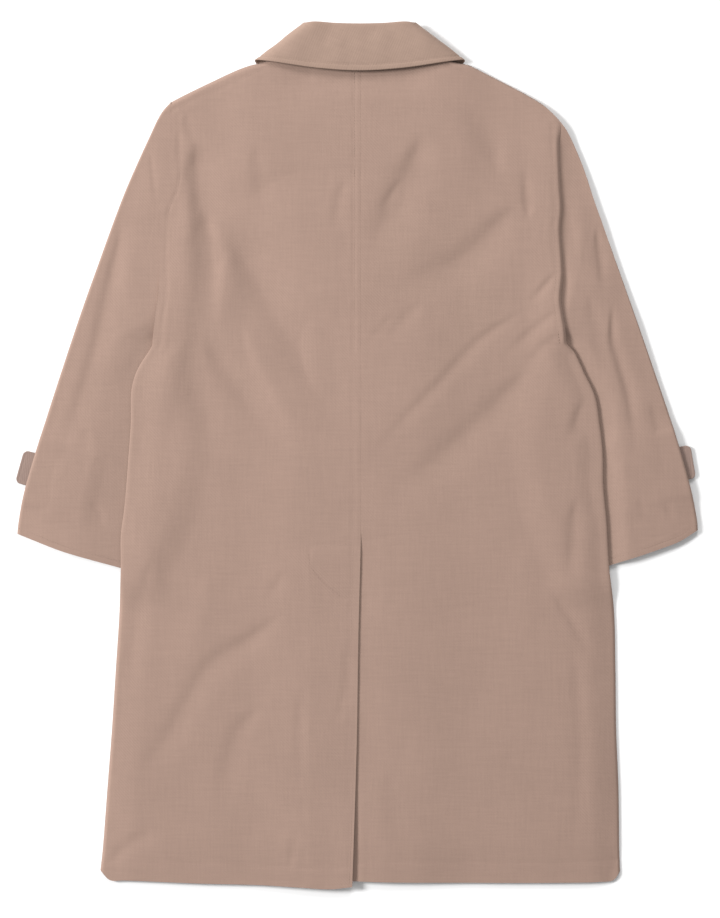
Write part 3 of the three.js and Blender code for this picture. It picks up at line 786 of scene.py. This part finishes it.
def make_tab(side, material):
    """A cuff tab: two layers of cloth sewn together, its end corners rounded, with a stitched edge."""
    half, corner = TAB_WIDTH / 2, 7
    along = np.concatenate([np.linspace(0, 1, 12) ** 1.5 * corner, np.linspace(corner, TAB_LENGTH, 52)[1:]])
    aside = np.concatenate([-1 + 0.08 * np.linspace(0, 1, 7) ** 1.6, np.linspace(-0.92, 0.92, 30)[1:-1],
                            1 - 0.08 * np.linspace(1, 0, 7) ** 1.6])
    s, w = np.meshgrid(along, aside)
    rounding = np.sqrt(np.maximum(corner ** 2 - (corner - s) ** 2, 0.04))
    reach = np.where(s < corner, half - corner + rounding, half)
    q = w * reach
    to_edge = np.minimum(np.minimum(s, reach - np.abs(q)), TAB_LENGTH - s)
    ex, ey = side["tab_end"]
    dx, dy = side["tab_way"]
    x, y = ex + s * dx - q * dy, ey + s * dy + q * dx
    round_off = 0.55 * edge_drop(to_edge, 0.9)
    groove = 0.22 * bell(to_edge - 3.6, 0.8)
    top = np.dstack([x, y, TAB_RISE - round_off - groove])
    bottom = np.dstack([x, y, TAB_RISE - TAB_WALL + round_off])
    return shell(f"cloth_tab_{side['name']}", top, TAB_WALL, material, inner=bottom)


def make_button(name, x, y, radius, thick, material):
    """A four-hole button, face down: dished, with a rounded rim and the holes bored through."""
    around = 56
    hole, hole_off = radius * 0.13, radius * 0.24
    profile = [(0.0, 0.9), (0.5, 0.9), (0.66, 0.75), (0.74, 0.25), (0.80, 0.05), (0.86, 0.0), (0.93, 0.12),
               (0.98, 0.5), (1.0, 1.1), (1.0, thick - 0.8), (0.97, thick - 0.3), (0.9, thick), (0.5, thick),
               (0.0, thick)]
    points, faces = [], []
    for share, z in profile:
        for k in range(around):
            angle = 2 * math.pi * k / around
            reach = max(share * radius, 0.001)
            points.append((x + reach * math.cos(angle), y + reach * math.sin(angle), z))
    for r in range(len(profile) - 1):
        for k in range(around):
            n = (k + 1) % around
            a, b = r * around, (r + 1) * around
            faces.append((a + k, b + k, b + n, a + n))
    piece = build_mesh(name, points, faces, material)
    merge = piece.modifiers.new("merge", "WELD")
    merge.merge_threshold = 0.00002
    cutters = []
    for k in range(4):
        angle = math.pi / 4 + k * math.pi / 2
        bpy.ops.mesh.primitive_cylinder_add(
            vertices=20, radius=hole * METRE, depth=3 * thick * METRE,
            location=((x + hole_off * math.cos(angle)) * METRE, (y + hole_off * math.sin(angle)) * METRE,
                      thick / 2 * METRE))
        cutters.append(bpy.context.object)
    for cutter in cutters:
        cut = piece.modifiers.new("hole", "BOOLEAN")
        cut.object = cutter
        cut.operation = "DIFFERENCE"
        cut.solver = "EXACT"
    bpy.context.view_layer.update()
    shown = piece.evaluated_get(bpy.context.evaluated_depsgraph_get())
    mesh = bpy.data.meshes.new_from_object(shown)
    piece.modifiers.clear()
    piece.data = mesh
    for cutter in cutters:
        bpy.data.objects.remove(cutter)
    return piece


def principled(name, color, roughness):
    material = bpy.data.materials.new(name)
    material.use_nodes = True
    nodes = material.node_tree.nodes
    shader = nodes["Principled BSDF"]
    shader.inputs["Base Color"].default_value = (*color, 1)
    shader.inputs["Roughness"].default_value = roughness
    return material, nodes, material.node_tree.links, shader


def noise(nodes, links, place, scale, detail, stretch=(1, 1, 1), turn=0.0):
    """A noise texture's value, its grain drawn out where stretch is below 1."""
    mapping = nodes.new("ShaderNodeMapping")
    mapping.vector_type = "TEXTURE"
    mapping.inputs["Rotation"].default_value = (0, 0, turn)
    mapping.inputs["Scale"].default_value = tuple(1 / part for part in stretch)
    links.new(place, mapping.inputs["Vector"])
    node = nodes.new("ShaderNodeTexNoise")
    node.inputs["Scale"].default_value = scale
    node.inputs["Detail"].default_value = detail
    links.new(mapping.outputs["Vector"], node.inputs["Vector"])
    return node.outputs["Fac"]


def swing(nodes, links, value, amount):
    """A noise value turned into a factor near 1."""
    node = nodes.new("ShaderNodeMapRange")
    node.inputs["From Min"].default_value = 0.25
    node.inputs["From Max"].default_value = 0.75
    node.inputs["To Min"].default_value = 1 - amount
    node.inputs["To Max"].default_value = 1 + amount
    links.new(value, node.inputs["Value"])
    return node.outputs["Result"]


def combined(nodes, links, operation, first, second):
    node = nodes.new("ShaderNodeMath")
    node.operation = operation
    links.new(first, node.inputs[0])
    links.new(second, node.inputs[1])
    return node.outputs[0]


def gabardine(name, color, turn=0.0):
    """Twill-woven cotton: fine diagonal ribs, uneven yarns both ways, and a faint mottling of its colour."""
    material, nodes, links, shader = principled(name, color, 0.86)
    shader.inputs["Sheen Weight"].default_value = 0.12
    shader.inputs["Sheen Roughness"].default_value = 0.45
    shader.inputs["Specular IOR Level"].default_value = 0.25
    place = nodes.new("ShaderNodeTexCoord").outputs["Object"]
    mottle = noise(nodes, links, place, 11, 3)
    warp = noise(nodes, links, place, 420, 2, (1, 0.07, 1), turn)
    weft = noise(nodes, links, place, 420, 2, (0.07, 1, 1), turn)
    speck = noise(nodes, links, place, 1100, 1)
    factor = swing(nodes, links, mottle, 0.022)
    for value, amount in ((warp, 0.03), (weft, 0.03), (speck, 0.04)):
        factor = combined(nodes, links, "MULTIPLY", factor, swing(nodes, links, value, amount))
    tint = nodes.new("ShaderNodeVectorMath")
    tint.operation = "SCALE"
    tint.inputs[0].default_value = color
    links.new(factor, tint.inputs["Scale"])
    links.new(tint.outputs[0], shader.inputs["Base Color"])
    rotated = nodes.new("ShaderNodeMapping")
    rotated.inputs["Rotation"].default_value = (0, 0, turn)
    links.new(place, rotated.inputs["Vector"])
    twill = nodes.new("ShaderNodeTexWave")
    twill.wave_type = "BANDS"
    twill.bands_direction = "DIAGONAL"
    twill.inputs["Scale"].default_value = 150
    twill.inputs["Distortion"].default_value = 1.2
    twill.inputs["Detail"].default_value = 1
    twill.inputs["Detail Scale"].default_value = 3
    links.new(rotated.outputs["Vector"], twill.inputs["Vector"])
    height = combined(nodes, links, "ADD", twill.outputs["Fac"], combined(nodes, links, "ADD", warp, weft))
    bump = nodes.new("ShaderNodeBump")
    bump.inputs["Strength"].default_value = 0.3
    bump.inputs["Distance"].default_value = 0.0003
    links.new(height, bump.inputs["Height"])
    links.new(bump.outputs["Normal"], shader.inputs["Normal"])
    return material


def horn(name):
    material, nodes, links, shader = principled(name, (0.16, 0.10, 0.07), 0.35)
    place = nodes.new("ShaderNodeTexCoord").outputs["Object"]
    streaks = noise(nodes, links, place, 160, 4)
    ramp = nodes.new("ShaderNodeValToRGB")
    ramp.color_ramp.elements[0].position = 0.35
    ramp.color_ramp.elements[0].color = (0.10, 0.06, 0.04, 1)
    ramp.color_ramp.elements[1].position = 0.7
    ramp.color_ramp.elements[1].color = (0.30, 0.21, 0.15, 1)
    links.new(streaks, ramp.inputs["Fac"])
    links.new(ramp.outputs["Color"], shader.inputs["Base Color"])
    return material


def capsule_mesh():
    """One stitch: a short thread, thicker in the middle, dipping at both ends. x runs along it."""
    rings, sides = 5, 6
    points, faces = [], []
    for i in range(rings):
        share = i / (rings - 1)
        swell = math.sin(math.pi * (0.12 + 0.76 * share))
        for k in range(sides):
            angle = 2 * math.pi * k / sides
            points.append(((share - 0.5) * STITCH_LENGTH, 0.34 * swell * math.cos(angle),
                           0.26 * swell * math.sin(angle) + 0.16 * math.sin(math.pi * share)))
    for i in range(rings - 1):
        for k in range(sides):
            n = (k + 1) % sides
            faces.append((i * sides + k, i * sides + n, (i + 1) * sides + n, (i + 1) * sides + k))
    faces.append(tuple(range(sides))[::-1])
    faces.append(tuple((rings - 1) * sides + k for k in range(sides)))
    return np.array(points), faces


def sew(name, runs, material):
    """Stitches along runs; each run is its points, already on the cloth's surface."""
    points, faces, first = [], [], 0
    form, form_faces = capsule_mesh()
    for run in runs:
        line = np.array(run, float)
        walked = np.concatenate([[0], np.cumsum(np.linalg.norm(np.diff(line, axis=0), axis=1))])
        for at in np.arange(STITCH_PITCH / 2, walked[-1] - STITCH_PITCH / 2, STITCH_PITCH):
            start, end = (np.array([np.interp(at + d, walked, line[:, k]) for k in range(3)])
                          for d in (-STITCH_LENGTH / 2, STITCH_LENGTH / 2))
            way = (end - start) / np.linalg.norm(end - start)
            level = np.array([-way[1], way[0], 0])
            level /= np.linalg.norm(level)
            up = np.cross(way, level)
            place = (start + end) / 2 + form[:, :1] * way + form[:, 1:2] * level + form[:, 2:3] * up
            points.extend(place)
            faces.extend(tuple(first + k for k in face) for face in form_faces)
            first += len(form)
    return build_mesh(name, points, faces, material)


def on_back(side):
    """The height of the back's face as a function of x and y."""
    def height(x, y):
        edge = np.where(y < UNDERARM_Y, across(side["side"], y), across(side["armhole"], y))
        to_side = np.maximum((edge - x) * side["sign"], 0)
        top = np.array(sorted([*BACK_NECK, *side["shoulder"]]), float)
        to_top = np.maximum(np.interp(x, top[:, 0], top[:, 1]) - y, 0)
        return back_height(side, x, y, to_side, to_top, fade(y, 110, 160))
    return height


def on_sleeve(side):
    """The height of a sleeve's upper face near its cuff."""
    def height(x, y):
        return sleeve_top(side, x, y, np.full(x.shape, 0.9))
    return height


def laid_on(rows, height, sink=0.02):
    """A line of stitching, put on a surface of known height."""
    line = spline(rows, max(40, len(rows) * 10))
    return np.column_stack([line, height(line[:, 0], line[:, 1]) - sink])


def fall_stitch(strip, v, fall):
    """The stitching line near the fall's edge, read from its mesh's outer face."""
    rows, columns = strip.shape[:2]
    points = np.array([vertex.co[:] for vertex in fall.data.vertices])[:rows * columns] / METRE
    grid = points.reshape(rows, columns, 3)[:, ::-1]
    line = []
    for column in range(columns):
        depth = np.linalg.norm(strip[-1, column] - strip[0, column])
        share = 1 - COLLAR_STITCH_IN / depth
        line.append([np.interp(share, v, grid[:, column, k]) for k in range(3)])
    return [point for point in line if point[2] > FLAT_HEIGHT]


cotton = gabardine("cotton", (0.292, 0.1965, 0.1565))
crossways = gabardine("cotton_crossways", (0.294, 0.202, 0.158), 1.2)
# The tabs are the coat's cotton painted darker: painted shade for the shadow they lie in under the sleeves'
# edges
tab_cotton = gabardine("tab_cotton", (0.245, 0.172, 0.145), 0.7)
thread, *_ = principled("thread", (0.31, 0.21, 0.167), 0.7)
button_horn = horn("button_horn")

back = {side["name"]: make_back(side, cotton) for side in (LEFT, RIGHT)}
front = {side["name"]: make_front(side, cotton) for side in (LEFT, RIGHT)}
sleeve = {side["name"]: make_sleeve(side, cotton) for side in (LEFT, RIGHT)}
tab = {side["name"]: make_tab(side, tab_cotton) for side in (LEFT, RIGHT)}
fall, fall_strip, fall_rows = make_fall(crossways)
stand = make_stand(crossways)

buttons = [make_button(f"horn_button_{n + 1}", 0, y, BUTTON_RADIUS, BUTTON_THICK, button_horn)
           for n, y in enumerate(BUTTON_PLACES)]
for side in (LEFT, RIGHT):
    (ex, ey), (dx, dy) = side["tab_end"], side["tab_way"]
    place = (ex + TAB_BUTTON_IN * dx, ey + TAB_BUTTON_IN * dy)
    name = f"horn_tab_button_{side['name']}"
    buttons.append(make_button(name, *place, TAB_BUTTON_RADIUS, TAB_BUTTON_THICK, button_horn))

left_back, right_back = on_back(LEFT), on_back(RIGHT)
seams = {
    "stitches_left": sew("stitches_left", [laid_on(rows, left_back) for rows in (
        HEM_STITCH["left"], SHOULDER_STITCH["left"], ARMHOLE_STITCH["left"], CENTRE_STITCH, *FLAP_STITCHES,
        *VENT_STITCHES)], thread),
    "stitches_right": sew("stitches_right", [laid_on(rows, right_back) for rows in (
        HEM_STITCH["right"], SHOULDER_STITCH["right"], ARMHOLE_STITCH["right"], UNDERLAP_STITCH)], thread),
    "stitches_cuff_left": sew(
        "stitches_cuff_left", [laid_on(cuff_stitch(LEFT), on_sleeve(LEFT))], thread),
    "stitches_cuff_right": sew(
        "stitches_cuff_right", [laid_on(cuff_stitch(RIGHT), on_sleeve(RIGHT))], thread),
    "stitches_collar": sew("stitches_collar", [fall_stitch(fall_strip, fall_rows, fall)], thread),
}

for piece in (*back.values(), *front.values(), *sleeve.values(), *tab.values(), fall, stand, *buttons):
    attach(piece, "root")
    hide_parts(piece.name.split("_", 1)[1])
for piece in seams.values():
    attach(piece, "root")

bpy.ops.mesh.primitive_plane_add(size=8)
floor = bpy.context.object
floor.name = "floor"
paper, *_ = principled("paper", (0.85, 0.85, 0.85), 0.9)
floor.data.materials.append(paper)

world = bpy.context.scene.world or bpy.data.worlds.new("world")
bpy.context.scene.world = world
world.use_nodes = True
sky = world.node_tree.nodes["Background"]
sky.inputs["Color"].default_value = (1, 1, 1, 1)
sky.inputs["Strength"].default_value = 0.5


def area_light(name, azimuth, elevation, distance, size, power):
    """A round soft light, aimed at the coat's middle; azimuth runs from +X towards +Y."""
    turn, rise = math.radians(azimuth), math.radians(elevation)
    level = math.cos(rise)
    place = distance * Vector((math.cos(turn) * level, math.sin(turn) * level, math.sin(rise)))
    lamp = bpy.data.lights.new(name, "AREA")
    lamp.shape = "DISK"
    lamp.size = size
    lamp.energy = power
    holder = bpy.data.objects.new(name, lamp)
    holder.location = place
    holder.rotation_euler = (-place).to_track_quat("-Z", "Y").to_euler()
    bpy.context.scene.collection.objects.link(holder)


area_light("key", azimuth=167, elevation=33, distance=7, size=2.2, power=640)
area_light("top", azimuth=88, elevation=36, distance=6, size=2.4, power=170)

SENSOR = 36
LENS_DISTANCE = 4.0
COAT_MIDDLE = 0.009
lens = bpy.data.cameras.new("camera")
lens.lens = SENSOR * LENS_DISTANCE / (PHOTO_HEIGHT * MM_PER_PIXEL * METRE)
camera = bpy.data.objects.new("camera", lens)
camera.location = (PHOTO_MIDDLE[0] * METRE, PHOTO_MIDDLE[1] * METRE, LENS_DISTANCE + COAT_MIDDLE)
bpy.context.scene.collection.objects.link(camera)
bpy.context.scene.camera = camera
bpy.context.scene.view_settings.view_transform = "Standard"

bpy.context.view_layer.update()
